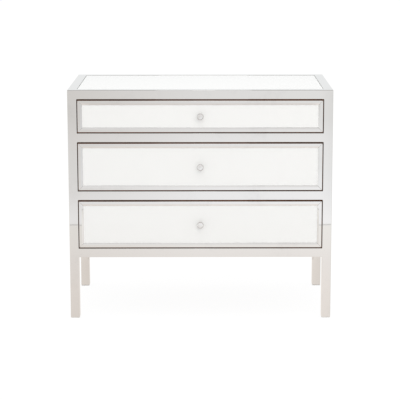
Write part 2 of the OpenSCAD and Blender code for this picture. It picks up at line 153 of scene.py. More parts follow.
class StageSettings(bpy.types.PropertyGroup):
    lens: FloatProperty(name="Lens", description="Focal length on a 36 mm sensor", default=138.64)
    camera_place: FloatVectorProperty(
        name="Camera", description="Where the camera stands",
        default=(0.0116, -5.1986, 1.3458), subtype="TRANSLATION")
    camera_pitch: FloatProperty(
        name="Pitch", description="How far the camera looks down",
        default=math.radians(10.779), subtype="ANGLE")
    camera_yaw: FloatProperty(
        name="Yaw", description="How far the camera turns to the left",
        default=math.radians(-0.325), subtype="ANGLE")
    camera_shift: FloatProperty(
        name="Shift", description="The lens's sideways shift, in picture widths", default=-0.0313)
    floor_size: FloatProperty(
        name="Floor", description="Side of the square floor", default=60, unit="LENGTH")
    floor_seam: FloatProperty(
        name="Seam", description="Place of the floor's seam, on the scale of FLOOR_IN_METAL",
        default=0.7807)
    sky_strength: FloatProperty(
        name="Sky", description="Brightness of the walls and ceiling all round", default=1.0)
    box_power: FloatProperty(
        name="Overhead box", description="Power of the softbox above the nightstand, in watts",
        default=15)
    front_power: FloatProperty(
        name="Front box", description="Power of the softbox beside the camera, in watts",
        default=30.5)
    panel_power: FloatProperty(
        name="Ceiling panel", description="Power of the long panel over the nightstand, in watts",
        default=2.0)
    strip_power: FloatProperty(
        name="Strip light", description="Power of the narrow light above and in front, in watts",
        default=0.2)


# What polished metal sees. Each stop has its place and its colour.

# The floor as polished metal sees it, a painted reflection: the glow it shows metal, from 0 at
# FLOOR_START to 1 below the middle of the nightstand. The stops above 1 are a painted brighter band,
# and the darker, warmer stops towards and under the nightstand are painted shade
FLOOR_IN_METAL = (
    (0.0, (0.90, 0.895, 0.89)),
    (0.36, (0.88, 0.885, 0.885)),
    (0.48, (0.94, 0.945, 0.955)),
    (0.60, (0.955, 0.97, 0.98)),
    (0.70, (1.01, 1.02, 1.04)),
    (0.776, (1.05, 1.06, 1.08)),
    (0.785, (0.99, 0.98, 0.955)),
    (0.835, (0.98, 0.955, 0.935)),
    (0.86, (0.96, 0.925, 0.905)),
    (0.92, (0.95, 0.90, 0.865)),
    (1.0, (0.91, 0.855, 0.81)),
)
# Its painted tone from the left to the right, lighter and darker streaks that the legs reflect, far
# from the nightstand and near it
FAR_SIDES_IN_METAL = (
    (0.0, (0.80, 0.80, 0.79)),
    (0.12, (0.80, 0.80, 0.79)),
    (0.20, (0.97, 0.97, 0.96)),
    (0.37, (0.90, 0.90, 0.89)),
    (0.40, (0.83, 0.81, 0.79)),
    (0.50, (0.965, 0.96, 0.96)),
    (0.59, (1.0, 1.0, 1.0)),
    (0.62, (0.83, 0.83, 0.82)),
    (0.80, (0.80, 0.80, 0.80)),
    (0.94, (0.76, 0.76, 0.76)),
    (1.0, (0.76, 0.76, 0.76)),
)
NEAR_SIDES_IN_METAL = (
    (0.0, (0.97, 0.97, 0.96)),
    (0.37, (0.97, 0.97, 0.96)),
    (0.40, (0.87, 0.86, 0.845)),
    (0.50, (0.955, 0.955, 0.955)),
    (0.57, (0.965, 0.965, 0.965)),
    (0.60, (0.99, 0.99, 0.985)),
    (0.63, (0.83, 0.83, 0.82)),
    (1.0, (0.80, 0.80, 0.80)),
)
# The room by height, from 0 at eye level to 1 overhead
SKY_BEHIND = (
    (0.0, (0.90, 0.915, 0.92)),
    (0.16, (0.90, 0.915, 0.92)),
    (0.30, (1.0, 1.0, 1.0)),
    (0.45, (0.95, 0.95, 0.95)),
    (0.60, (0.58, 0.57, 0.56)),
    (1.0, (0.58, 0.57, 0.56)),
)
SKY_IN_FRONT = (
    (0.0, (0.46, 0.44, 0.42)),
    (0.29, (0.46, 0.44, 0.42)),
    (0.31, (0.14, 0.10, 0.08)),
    (0.37, (0.14, 0.10, 0.08)),
    (0.43, (0.91, 0.90, 0.89)),
    (0.49, (0.96, 0.96, 0.96)),
    (0.53, (0.875, 0.875, 0.875)),
    (0.59, (0.84, 0.84, 0.84)),
    (0.66, (0.09, 0.08, 0.07)),
    (0.98, (0.09, 0.08, 0.07)),
    (1.0, (0.58, 0.57, 0.56)),
)

# Where FLOOR_IN_METAL begins, in metres along Y
FLOOR_START = -8.0
# Half the width of the front's image on the floor beside the nightstand, in metres, and how much
# wider it gets with each metre in front
IMAGE_REACH = 0.401
IMAGE_GROWTH = 0.0874
# How many such half widths the sides' ramps cover to either side, and where the near one takes over
SIDES_REACH = 5.0
NEAR_SIDES = (0.68, 0.76)
# The outer and inner edge of the legs in those half widths
LEG_EDGES = (0.95, 0.90)
# A painted shade on the floor between the legs, which only polished metal sees: it deepens, then turns
# into a painted lighter strip
SHADE_DEEPENS = (0.872, 0.882, 0.0, 0.13)
SHADE_TURNS = (0.893, 0.912, 1.0, -0.3)
# The floor's seam: its half width, where it has faded away, and how dark it is
SEAM_LINE = (0.0008, 0.0018, 0.36, 0.0)
# The room on either side of the nightstand: where its front part blends into the part behind
ROOM_TURN = (-0.25, 0.25)

WHITE = (1.0, 1.0, 1.0)
BLACK = (0.0, 0.0, 0.0)
# The floor and the room as dull surfaces see them
DULL_FLOOR = (0.86, 0.86, 0.855)
DULL_ROOM = (0.80, 0.80, 0.80)
# What the camera sees of the floor: a little paint for the shadow, and its own white for the rest
SHADOW_PAINT = (0.10, 0.10, 0.10)
CAMERA_WHITE = (0.94, 0.94, 0.94)
# The little paint that lets the shadow show in metal too
MIRRORED_PAINT = (0.06, 0.06, 0.06)

# Each lamp, the setting of its power, its place, its tilt in degrees, its size, and whether
# polished metal sees it
LAMPS = (
    ("overhead_box", "box_power", (0.2, -0.5, 2.9), 0, (2.6, 1.8), False),
    ("front_box", "front_power", (0.9, -4.2, 2.4), 62, (2.4, 2.4), False),
    ("ceiling_panel", "panel_power", (0.01, -0.6, 2.0), 0, (0.39, 2.2), True),
    ("strip_light", "strip_power", (0.012, -1.45, 1.9), 45, (0.10, 0.63), True),
)

SETTINGS = (
    ("nightstand_frame", FrameSettings),
    ("nightstand_trim", TrimSettings),
    ("nightstand_glass", GlassSettings),
    ("nightstand_knob", KnobSettings),
    ("nightstand_wood", WoodSettings),
    ("nightstand_stage", StageSettings),
)


# Modelling helpers

# Points closer than this are one
SAME_PLACE = 0.01 * MM
# A face looks along an axis when that much of its normal does
ALONG = 0.9
# Steps in each quarter turn of the knob's profile
ARC_STEPS = 6
QUARTER = math.radians(90)


def deselect_all():
    if bpy.context.object and bpy.context.object.mode != "OBJECT":
        bpy.ops.object.mode_set(mode="OBJECT")
    bpy.ops.object.select_all(action="DESELECT")


def make_active(piece):
    deselect_all()
    piece.select_set(True)
    bpy.context.view_layer.objects.active = piece


def add_block(name, low, high):
    """A block between two corners, with its place in its mesh."""
    deselect_all()
    low, high = Vector(low), Vector(high)
    bpy.ops.mesh.primitive_cube_add(size=1, location=(low + high) / 2)
    piece = bpy.context.object
    piece.name = name
    piece.scale = high - low
    bpy.ops.object.transform_apply(location=True, rotation=True, scale=True)
    return piece


def select_faces(piece, wanted):
    """In edit mode, selects the faces that wanted(centre, normal) says yes to."""
    if piece.mode != "EDIT":
        make_active(piece)
        bpy.ops.object.mode_set(mode="EDIT")
    bpy.ops.mesh.select_mode(type="FACE")
    bpy.ops.mesh.select_all(action="DESELECT")
    shape = bmesh.from_edit_mesh(piece.data)
    for face in shape.faces:
        face.select_set(wanted(face.calc_center_median(), face.normal))
    bmesh.update_edit_mesh(piece.data)


def leave_edit(piece):
    bpy.ops.mesh.select_all(action="DESELECT")
    bpy.ops.object.mode_set(mode="OBJECT")
    return piece


def push_faces(offset):
    bpy.ops.mesh.extrude_region_move(TRANSFORM_OT_translate={"value": offset})


def apply_modifier(piece, kind, **settings):
    make_active(piece)
    modifier = piece.modifiers.new(kind.title(), kind)
    for key, value in settings.items():
        setattr(modifier, key, value)
    bpy.ops.object.modifier_apply(modifier=modifier.name)


def copy_piece(piece, name):
    make_active(piece)
    bpy.ops.object.duplicate(linked=False)
    twin = bpy.context.object
    twin.name = name
    return twin


def join_pieces(pieces, name):
    make_active(pieces[0])
    for piece in pieces:
        piece.select_set(True)
    bpy.ops.object.join()
    pieces[0].name = name
    return pieces[0]


def round_edges(piece, radius, segments=3, smooth=50):
    """Rounds every edge sharper than 30 degrees and keeps the flat faces flat to the eye."""
    apply_modifier(
        piece, "BEVEL", width=radius, segments=segments, limit_method="ANGLE",
        angle_limit=math.radians(30), miter_outer="MITER_ARC")
    make_active(piece)
    bpy.ops.object.shade_smooth_by_angle(angle=math.radians(smooth))
    apply_modifier(piece, "WEIGHTED_NORMAL", keep_sharp=True, weight=90)


def finish_piece(piece, body, replaced, material):
    """Hands a finished piece to its body, its finish and the nodes that it stands for."""
    piece.data.materials.clear()
    piece.data.materials.append(material)
    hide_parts(*replaced)
    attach(piece, body)


# Material helpers

GLASS_IOR = 1.52
# How a timber's or rolled strip's X is turned to run along X or along Y
ALONG_X = (0, 0, 0)
ALONG_Y = (0, 0, QUARTER)
# Grain and finish of the dark veneer and of the birch
DARK_VENEER = {"figure_size": 0.012, "contrast": 0.9, "roughness": 0.34, "gloss": 0.2}
BIRCH = {"figure_size": 0.016, "contrast": 0.8, "roughness": 0.36, "gloss": 0.5}


class Wiring:
    """Adds and joins nodes in one material or node group."""

    def __init__(self, tree):
        self.tree = tree

    def node(self, kind, inputs=None, **settings):
        node = self.tree.nodes.new(kind)
        for key, value in settings.items():
            setattr(node, key, value)
        for key, value in (inputs or {}).items():
            if isinstance(value, bpy.types.NodeSocket):
                self.tree.links.new(value, node.inputs[key])
            else:
                node.inputs[key].default_value = value
        return node

    def maths(self, operation, a, b=0.0, clamp=False):
        node = self.node("ShaderNodeMath", {0: a, 1: b}, operation=operation, use_clamp=clamp)
        return node.outputs["Value"]

    def add(self, a, b):
        return self.maths("ADD", a, b)

    def take(self, a, b):
        return self.maths("SUBTRACT", a, b)

    def times(self, a, b):
        return self.maths("MULTIPLY", a, b)

    def over(self, a, b):
        return self.maths("DIVIDE", a, b)

    def spread(self, value, low, high, to_low=0.0, to_high=1.0):
        """The value moved from the range low..high to the range to_low..to_high, and held there."""
        return self.node("ShaderNodeMapRange", {
            "Value": value, "From Min": low, "From Max": high, "To Min": to_low, "To Max": to_high,
        }).outputs["Result"]

    def blend(self, amount, first, second):
        """A colour between the first and the second. A colour Mix node has them at inputs 6 and 7."""
        node = self.node("ShaderNodeMix", data_type="RGBA")
        for index, value in ((0, amount), (6, first), (7, second)):
            if isinstance(value, bpy.types.NodeSocket):
                self.tree.links.new(value, node.inputs[index])
            else:
                node.inputs[index].default_value = (*value, 1.0) if index else value
        return node.outputs[2]

    def noise(self, vector, scale, detail=4.0, roughness=0.5, distortion=0.0):
        return self.node("ShaderNodeTexNoise", {
            "Vector": vector, "Scale": scale, "Detail": detail, "Roughness": roughness,
            "Distortion": distortion,
        }).outputs["Fac"]

    def place(self, vector, scale=(1, 1, 1), rotation=(0, 0, 0)):
        return self.node("ShaderNodeMapping", {
            "Vector": vector, "Scale": scale, "Rotation": rotation,
        }).outputs["Vector"]

    def bump(self, height, strength, distance):
        return self.node("ShaderNodeBump", {
            "Height": height, "Strength": strength, "Distance": distance}).outputs["Normal"]

    def feed(self, shader, colour, roughness, normal=None):
        """Joins what varies over the surface to the Principled shader."""
        self.tree.links.new(colour, shader.inputs["Base Color"])
        self.tree.links.new(roughness, shader.inputs["Roughness"])
        if normal is not None:
            self.tree.links.new(normal, shader.inputs["Normal"])


def start_material(name):
    """A material with its Principled shader, its wiring and its Object coordinates."""
    material = bpy.data.materials.new(name)
    material.use_nodes = True
    wiring = Wiring(material.node_tree)
    shader = material.node_tree.nodes["Principled BSDF"]
    place = wiring.node("ShaderNodeTexCoord").outputs["Object"]
    return material, wiring, shader, place


def start_group(name, inputs, outputs):
    """A node group with its named sockets, its wiring and its input node's sockets."""
    tree = bpy.data.node_groups.new(name, "ShaderNodeTree")
    for title, kind, default in inputs:
        socket = tree.interface.new_socket(title, in_out="INPUT", socket_type=kind)
        if default is not None:
            socket.default_value = default
    for title, kind in outputs:
        tree.interface.new_socket(title, in_out="OUTPUT", socket_type=kind)
    wiring = Wiring(tree)
    given = wiring.node("NodeGroupInput").outputs
    result = wiring.node("NodeGroupOutput").inputs
    return tree, wiring, given, result


FLOAT, VECTOR = "NodeSocketFloat", "NodeSocketVector"


def handling_group():
    """Smudges and faint wipe marks, as a mask for roughness."""
    name = "Handling marks"
    if name in bpy.data.node_groups:
        return bpy.data.node_groups[name]
    tree, wiring, given, result = start_group(
        name, [("Vector", VECTOR, None), ("Size", FLOAT, 0.12), ("Cover", FLOAT, 0.4)],
        [("Mask", FLOAT)])
    per_metre = wiring.over(1.0, given["Size"])
    broad = wiring.noise(given["Vector"], per_metre, detail=3.0, roughness=0.55, distortion=0.4)
    fine = wiring.noise(given["Vector"], wiring.times(per_metre, 5.0), detail=5.0, roughness=0.6)
    mixed = wiring.add(wiring.times(broad, 0.7), wiring.times(fine, 0.3))
    edge = wiring.take(0.75, wiring.times(given["Cover"], 0.5))
    mask = wiring.node("ShaderNodeMapRange", {
        "Value": mixed, "From Min": edge, "From Max": wiring.add(edge, 0.22)},
        interpolation_type="SMOOTHSTEP").outputs["Result"]
    tree.links.new(mask, result["Mask"])
    return tree


def handling_marks(wiring, place, size, cover):
    """The mask of the handling marks: their size in metres and how much they cover."""
    return wiring.node("ShaderNodeGroup", {"Vector": place, "Size": size, "Cover": cover},
                       node_tree=handling_group()).outputs["Mask"]


def lines_group():
    """Fine lines left by a polishing belt or a rolling mill, drawn out along X."""
    name = "Drawn lines"
    if name in bpy.data.node_groups:
        return bpy.data.node_groups[name]
    tree, wiring, given, result = start_group(
        name, [("Vector", VECTOR, None), ("Fineness", FLOAT, 900.0), ("Stretch", FLOAT, 0.02)],
        [("Lines", FLOAT)])
    squeeze = wiring.node("ShaderNodeCombineXYZ", {0: given["Stretch"], 1: 1.0, 2: 1.0}).outputs[0]
    drawn = wiring.node("ShaderNodeVectorMath", {0: given["Vector"], 1: squeeze}, operation="MULTIPLY")
    lines = wiring.noise(drawn.outputs[0], given["Fineness"], detail=3.0, roughness=0.7)
    tree.links.new(lines, result["Lines"])
    return tree


def drawn_lines(wiring, place, fineness, stretch):
    return wiring.node("ShaderNodeGroup", {"Vector": place, "Fineness": fineness, "Stretch": stretch},
                       node_tree=lines_group()).outputs["Lines"]


def grain_group():
    """Sawn timber with its grain along X: growth figure, pores and a height for the bump."""
    name = "Timber grain"
    if name in bpy.data.node_groups:
        return bpy.data.node_groups[name]
    tree, wiring, given, result = start_group(
        name, [("Vector", VECTOR, None), ("Figure size", FLOAT, 0.018), ("Pore size", FLOAT, 0.0011),
               ("Contrast", FLOAT, 1.0)],
        [("Figure", FLOAT), ("Pores", FLOAT), ("Height", FLOAT)])
    # The figure: wavy growth rings with a cloud of darker and paler streaks
    drawn = wiring.place(given["Vector"], scale=(0.035, 1.0, 1.0))
    bend = wiring.noise(drawn, 8.0, detail=2.0, roughness=0.4)
    rings = wiring.node("ShaderNodeTexWave", {
        "Vector": drawn, "Scale": wiring.over(0.31, given["Figure size"]),
        "Distortion": 1.5, "Detail": 2.0, "Detail Scale": 1.2,
        "Phase Offset": wiring.times(bend, 16.0),
    }, wave_type="BANDS", bands_direction="DIAGONAL", wave_profile="SIN").outputs["Fac"]
    cloud = wiring.noise(drawn, wiring.over(0.6, given["Figure size"]), detail=5.0, roughness=0.6)
    streaks = wiring.add(wiring.times(rings, 0.32), wiring.times(cloud, 0.9))
    centred = wiring.times(wiring.take(streaks, 0.61), given["Contrast"])
    figure = wiring.maths("ADD", centred, 0.55, clamp=True)
    # The pores: short dark threads
    threads = wiring.place(given["Vector"], scale=(0.045, 1.0, 1.0))
    speck = wiring.noise(threads, wiring.over(1.0, given["Pore size"]), detail=2.0, roughness=0.5)
    pores = wiring.spread(speck, 0.56, 0.72)
    height = wiring.take(wiring.times(figure, 0.35), wiring.times(pores, 0.65))
    tree.links.new(figure, result["Figure"])
    tree.links.new(pores, result["Pores"])
    tree.links.new(height, result["Height"])
    return tree


def mirror_steel(settings):
    """Mirror-polished stainless steel, barely uneven, with faint belt lines and smudges."""
    material, wiring, shader, place = start_material("mirror_polished_steel")
    marks = handling_marks(wiring, place, size=0.09, cover=0.5)
    belt = drawn_lines(wiring, place, fineness=1400.0, stretch=0.015)
    handled = [channel * 0.95 for channel in settings.steel_colour]
    tint = wiring.blend(marks, settings.steel_colour, handled)
    rough = wiring.add(wiring.times(marks, 0.016), wiring.times(belt, 0.01))
    # The belt lines alone add 0.005 on average
    rough = wiring.add(rough, settings.steel_roughness - 0.005)
    waves = wiring.noise(place, 9.0, detail=1.0, roughness=0.4)
    wiring.feed(shader, tint, rough, wiring.bump(waves, strength=0.15, distance=0.5 * MM))
    shader.inputs["Metallic"].default_value = 1.0
    return material


def painted_glass(settings):
    """Float glass painted white behind: a flat white under a hard clear surface."""
    material, wiring, shader, place = start_material("back_painted_glass")
    marks = handling_marks(wiring, place, size=0.16, cover=0.35)
    cloud = wiring.noise(place, 3.0, detail=2.0, roughness=0.5)
    low = [channel * 0.985 for channel in settings.paint_colour]
    paint = wiring.blend(cloud, settings.paint_colour, low)
    rough = wiring.spread(marks, 0.0, 1.0, 0.045, 0.11)
    ripple = wiring.noise(place, 6.0, detail=1.0, roughness=0.3)
    wiring.feed(shader, paint, rough, wiring.bump(ripple, strength=0.12, distance=0.4 * MM))
    shader.inputs["IOR"].default_value = GLASS_IOR
    return material


def glass_edge(settings):
    """The ground edge of the same glass, tinted green by its depth."""
    material, wiring, shader, place = start_material("ground_glass_edge")
    speckle = wiring.noise(place, 1200.0, detail=2.0, roughness=0.6)
    pale = [channel * 1.12 for channel in settings.edge_colour]
    tint = wiring.blend(speckle, settings.edge_colour, pale)
    wiring.feed(shader, tint, wiring.spread(speckle, 0.3, 0.7, 0.22, 0.38))
    shader.inputs["IOR"].default_value = GLASS_IOR
    return material


def lacquered_board():
    """Satin white lacquer sprayed on board, with the least orange peel."""
    material, wiring, shader, place = start_material("sprayed_lacquer")
    marks = handling_marks(wiring, place, size=0.2, cover=0.3)
    cloud = wiring.noise(place, 2.5, detail=2.0, roughness=0.5)
    colour = wiring.blend(cloud, (0.86, 0.86, 0.845), (0.83, 0.83, 0.815))
    rough = wiring.spread(marks, 0.0, 1.0, 0.26, 0.36)
    peel = wiring.noise(place, 420.0, detail=2.0, roughness=0.5)
    wiring.feed(shader, colour, rough, wiring.bump(peel, strength=0.18, distance=0.2 * MM))
    shader.inputs["Coat Weight"].default_value = 0.15
    shader.inputs["Coat Roughness"].default_value = 0.18
    return material


def timber(name, low, high, turn, figure_size, contrast, roughness, gloss):
    """Lacquered timber whose grain runs along X, turned to run along a board."""
    material, wiring, shader, place = start_material(name)
    turned = wiring.place(place, rotation=turn)
    grain = wiring.node("ShaderNodeGroup", {
        "Vector": turned, "Figure size": figure_size, "Contrast": contrast},
        node_tree=grain_group()).outputs
    marks = handling_marks(wiring, place, size=0.15, cover=0.35)
    colour = wiring.blend(grain["Figure"], low, high)
    pore_colour = [channel * 0.6 for channel in low]
    pored = wiring.blend(wiring.times(grain["Pores"], 0.45), colour, pore_colour)
    rough = wiring.add(wiring.times(grain["Pores"], 0.16), wiring.times(marks, 0.08))
    rough = wiring.add(rough, roughness)
    wiring.feed(shader, pored, rough, wiring.bump(grain["Height"], strength=0.35, distance=0.3 * MM))
    shader.inputs["Specular IOR Level"].default_value = gloss
    return material


def zinc_plate():
    """Rolled steel strip with a bright zinc plate, cloudy and lined along Y."""
    material, wiring, shader, place = start_material("zinc_plate")
    turned = wiring.place(place, rotation=ALONG_Y)
    lines = drawn_lines(wiring, turned, fineness=1100.0, stretch=0.01)
    cloud = wiring.noise(place, 60.0, detail=4.0, roughness=0.6)
    colour = wiring.blend(cloud, (0.55, 0.57, 0.60), (0.70, 0.71, 0.72))
    rough = wiring.add(wiring.times(lines, 0.22), wiring.times(cloud, 0.16))
    rough = wiring.add(rough, 0.10)
    wiring.feed(shader, colour, rough, wiring.bump(lines, strength=0.15, distance=0.1 * MM))
    shader.inputs["Metallic"].default_value = 1.0
    return material


def moulded_nylon():
    """Grey nylon with a fine moulded grain."""
    material, wiring, shader, place = start_material("moulded_nylon")
    grain = wiring.noise(place, 1500.0, detail=2.0, roughness=0.5)
    colour = wiring.blend(grain, (0.82, 0.80, 0.77), (0.88, 0.86, 0.83))
    rough = wiring.spread(grain, 0.3, 0.7, 0.42, 0.55)
    wiring.feed(shader, colour, rough, wiring.bump(grain, strength=0.3, distance=0.1 * MM))
    return material


def steel_finish(context):
    """The polished steel, made for the first piece that asks. Frame, trims and knobs share it."""
    made = bpy.data.materials.get("mirror_polished_steel")
    return made or mirror_steel(context.scene.nightstand_frame)


def glass_finish(context):
    """The white glass, made for the first piece that asks."""
    made = bpy.data.materials.get("back_painted_glass")
    return made or painted_glass(context.scene.nightstand_glass)


def paint_node(name, material):
    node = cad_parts[name]
    node.data.materials.clear()
    node.data.materials.append(material)


def ease_node(name, radius):
    """Live modifiers that round a CAD board's edges and leave its own mesh as it is."""
    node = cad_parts[name]
    weld = node.modifiers.new("Weld", "WELD")
    weld.merge_threshold = SAME_PLACE
    bevel = node.modifiers.new("Eased edges", "BEVEL")
    bevel.width = radius
    bevel.segments = 2
    bevel.limit_method = "ANGLE"
    bevel.angle_limit = math.radians(40)


# One operator for each piece or group of like pieces

class WeldFrame(bpy.types.Operator):
    """Merges legs and rails into one welded frame and polishes it."""
    bl_idname = "nightstand.weld_frame"
    bl_label = "Weld the frame"

    def execute(self, context):
        settings = context.scene.nightstand_frame
        bars = [add_block(name, *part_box(name)) for name in LEGS]
        for rails, into_leg in ((CROSS_RAILS, Vector((settings.weld_overlap, 0, 0))),
                                (SIDE_RAILS, Vector((0, settings.weld_overlap, 0)))):
            for name in rails:
                low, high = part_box(name)
                bars.append(add_block(name, low - into_leg, high + into_leg))
        whole = bars[0]
        for bar in bars[1:]:
            apply_modifier(whole, "BOOLEAN", operation="UNION", solver="EXACT", object=bar)
            bpy.data.objects.remove(bar)
        select_faces(whole, lambda centre, normal: True)
        bpy.ops.mesh.remove_doubles(threshold=SAME_PLACE)
        bpy.ops.mesh.dissolve_limited(angle_limit=math.radians(1))
        leave_edit(whole)
        round_edges(whole, settings.edge_radius)
        whole.name = "welded_frame"
        finish_piece(whole, CABINET, LEGS + CROSS_RAILS + SIDE_RAILS,
                     steel_finish(context))
        return {"FINISHED"}


class MitreTrims(bpy.types.Operator):
    """Cuts four mitred strips of bevelled trim for each drawer front."""
    bl_idname = "nightstand.mitre_trims"
    bl_label = "Mitre the drawer trims"

    def execute(self, context):
        settings = context.scene.nightstand_trim
        for drawer in DRAWERS:
            node = drawer + "_drawer_trim"
            low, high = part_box(node)
            glass_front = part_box(drawer + "_drawer_glass")[0].y
            ring = self.profiled_ring(node + "_ring", low, high, glass_front, settings)
            strips = [self.strip(ring, low, high, side, settings.mitre_gap)
                      for side in ((-1, 0), (1, 0), (0, -1), (0, 1))]
            bpy.data.objects.remove(ring)
            trim = join_pieces(strips, drawer + "_trim_strips")
            round_edges(trim, settings.edge_radius, segments=7, smooth=15)
            finish_piece(trim, drawer + "_drawer", [node], steel_finish(context))
        return {"FINISHED"}

    def profiled_ring(self, name, low, high, glass_front, settings):
        """A block whose front falls to a lip over the glass, and whose back has the glass's pocket."""
        ring = add_block(name, low, high)
        select_faces(ring, lambda centre, normal: normal.y < -ALONG)
        bpy.ops.mesh.inset(thickness=settings.land)
        bpy.ops.mesh.inset(thickness=settings.width - settings.land)
        bpy.ops.transform.translate(value=(0, settings.fall, 0))
        push_faces((0, glass_front - low.y - settings.fall, 0))
        bpy.ops.mesh.delete(type="FACE")
        select_faces(ring, lambda centre, normal: normal.y > ALONG and centre.y > high.y - 0.1 * MM)
        bpy.ops.mesh.inset(thickness=settings.pocket)
        push_faces((0, glass_front - high.y, 0))
        bpy.ops.mesh.inset(thickness=settings.width - settings.pocket)
        bpy.ops.mesh.delete(type="FACE")
        bpy.ops.mesh.select_all(action="SELECT")
        bpy.ops.mesh.remove_doubles(threshold=0.05 * MM)
        bpy.ops.mesh.normals_make_consistent(inside=False)
        return leave_edit(ring)

    def strip(self, ring, low, high, side, gap):
        """One side of the ring, cut off at both mitres. side is its direction in X and Z."""
        strip = copy_piece(ring, ring.name + "_strip")
        across, up = side
        cuts = [((low + high) / 2, Vector((-across, 0, -up)))]
        for end in (-1, 1):
            corner = Vector((high.x if (across or end) > 0 else low.x, 0,
                             high.z if (up or end) > 0 else low.z))
            outward = -Vector((across or -end, 0, up or -end)).normalized()
            cuts.append((corner - outward * gap / 2, outward))
        make_active(strip)
        bpy.ops.object.mode_set(mode="EDIT")
        for place, outward in cuts:
            bpy.ops.mesh.select_all(action="SELECT")
            bpy.ops.mesh.bisect(plane_co=place, plane_no=outward, use_fill=True, clear_outer=True)
        return leave_edit(strip)


class LayTopGlass(bpy.types.Operator):
    """Lays the top's glass, with its ground arris, in the frame."""
    bl_idname = "nightstand.lay_top_glass"
    bl_label = "Lay the top's glass"
    # A border of faces along the glass's edge, which keeps its middle flat
    BORDER = 8 * MM
    PAINTED, GROUND = 0, 1

    def execute(self, context):
        settings = context.scene.nightstand_glass
        low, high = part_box("top_glass")
        sheet = add_block("top_glass_sheet", low, high)
        select_faces(sheet, lambda centre, normal: abs(normal.z) > ALONG)
        bpy.ops.mesh.inset(thickness=self.BORDER)
        leave_edit(sheet)
        round_edges(sheet, settings.arris, segments=2)
        finish_piece(sheet, CABINET, ["top_glass"], glass_finish(context))
        sheet.data.materials.append(glass_edge(settings))
        for face in sheet.data.polygons:
            face.material_index = self.PAINTED if face.normal.z > 0.95 else self.GROUND
        return {"FINISHED"}


class FitDrawerGlass(bpy.types.Operator):
    """Paints the drawers' glass white behind."""
    bl_idname = "nightstand.fit_drawer_glass"
    bl_label = "Paint the drawers' glass"

    def execute(self, context):
        for drawer in DRAWERS:
            paint_node(drawer + "_drawer_glass", glass_finish(context))
        return {"FINISHED"}


class TurnKnobs(bpy.types.Operator):
    """Turns one knob and puts a copy on each drawer."""
    bl_idname = "nightstand.turn_knobs"
    bl_label = "Turn the knobs"
    # Radii of the bead at the knob's foot, the cove above it, the flare to its head and its rim
    BEAD, COVE, FLARE, RIM = 1.0 * MM, 2.5 * MM, 2.5 * MM, 1.2 * MM
    FOOT_EASE = 0.3 * MM
    # How much thinner the waist is than the neck, and where the flare starts below the head
    WAIST_CUT, FLARE_START = 0.4 * MM, 1.5 * MM
    # The flat ring round the dish in the knob's face
    FACE_RING = 0.6 * MM

    def execute(self, context):
        low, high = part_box(DRAWERS[0] + "_drawer_knob")
        pattern = self.turned("knob_pattern", low, high, context.scene.nightstand_knob)
        for drawer in DRAWERS:
            node = drawer + "_drawer_knob"
            knob = copy_piece(pattern, drawer + "_drawer_turned_knob")
            knob.data.transform(Matrix.Translation(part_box(node)[0] - low))
            finish_piece(knob, drawer + "_drawer", [node], steel_finish(context))
        bpy.data.objects.remove(pattern)
        return {"FINISHED"}

    def profile(self, length, head, settings):
        """(distance from the glass, radius) along the knob, from its foot to its face."""
        arc = [math.pi / 2 * step / ARC_STEPS for step in range(ARC_STEPS + 1)]
        rise = [math.sin(turn) for turn in arc]
        bulge = [1 - math.cos(turn) for turn in arc]
        foot, waist = settings.foot_radius, settings.neck_radius - self.WAIST_CUT
        ankle, top_of_bead = foot - self.BEAD, self.FOOT_EASE + self.BEAD
        flare_start = length - settings.head_depth - self.FLARE_START
        dish, depth = head - self.RIM - self.FACE_RING, settings.dish_depth
        points = [(0, foot - self.FOOT_EASE)]
        for up, out in zip(rise, bulge):
            points.append((self.FOOT_EASE + self.BEAD * up, foot - self.BEAD * out))
        for up, out in zip(rise[1:], bulge[1:]):
            points.append((top_of_bead + self.COVE * out, waist + (ankle - waist) * (1 - up)))
        points.append((flare_start, waist))
        for up, out in zip(rise[1:], bulge[1:]):
            points.append((flare_start + self.FLARE * up, waist + (head - waist) * out))
        for up, out in zip(rise, bulge):
            points.append((length - self.RIM + self.RIM * up, head - self.RIM * out))
        for up, out in zip(rise[1:], bulge[1:]):
            points.append((length - depth * up, dish * (1 - 0.12 * out)))
        # The floor of the dish rises a little towards its middle
        for share in (0.75, 0.5, 0.25, 0.06):
            points.append((length - depth * (0.4 + 0.6 * share), dish * 0.88 * share))
        return points

    def turned(self, name, low, high, settings):
        """Raises the profile as rings, one extrusion after another, from a disc on the glass."""
        middle = (low + high) / 2
        points = self.profile(high.y - low.y, (high.x - low.x) / 2, settings)
        deselect_all()
        bpy.ops.mesh.primitive_circle_add(
            vertices=settings.sides, radius=points[0][1], fill_type="NGON",
            location=(middle.x, high.y, middle.z), rotation=(QUARTER, 0, 0))
        knob = bpy.context.object
        knob.name = name
        bpy.ops.object.transform_apply(location=True, rotation=True, scale=True)
        select_faces(knob, lambda centre, normal: True)
        for (reach, radius), (next_reach, next_radius) in zip(points, points[1:]):
            push_faces((0, reach - next_reach, 0))
            ratio = next_radius / radius
            bpy.ops.transform.resize(value=(ratio, 1, ratio), center_override=(middle.x, 0, middle.z))
        bpy.ops.mesh.select_all(action="SELECT")
        bpy.ops.mesh.normals_make_consistent(inside=False)
        leave_edit(knob)
        make_active(knob)
        bpy.ops.object.shade_smooth_by_angle(angle=math.radians(38))
        return knob


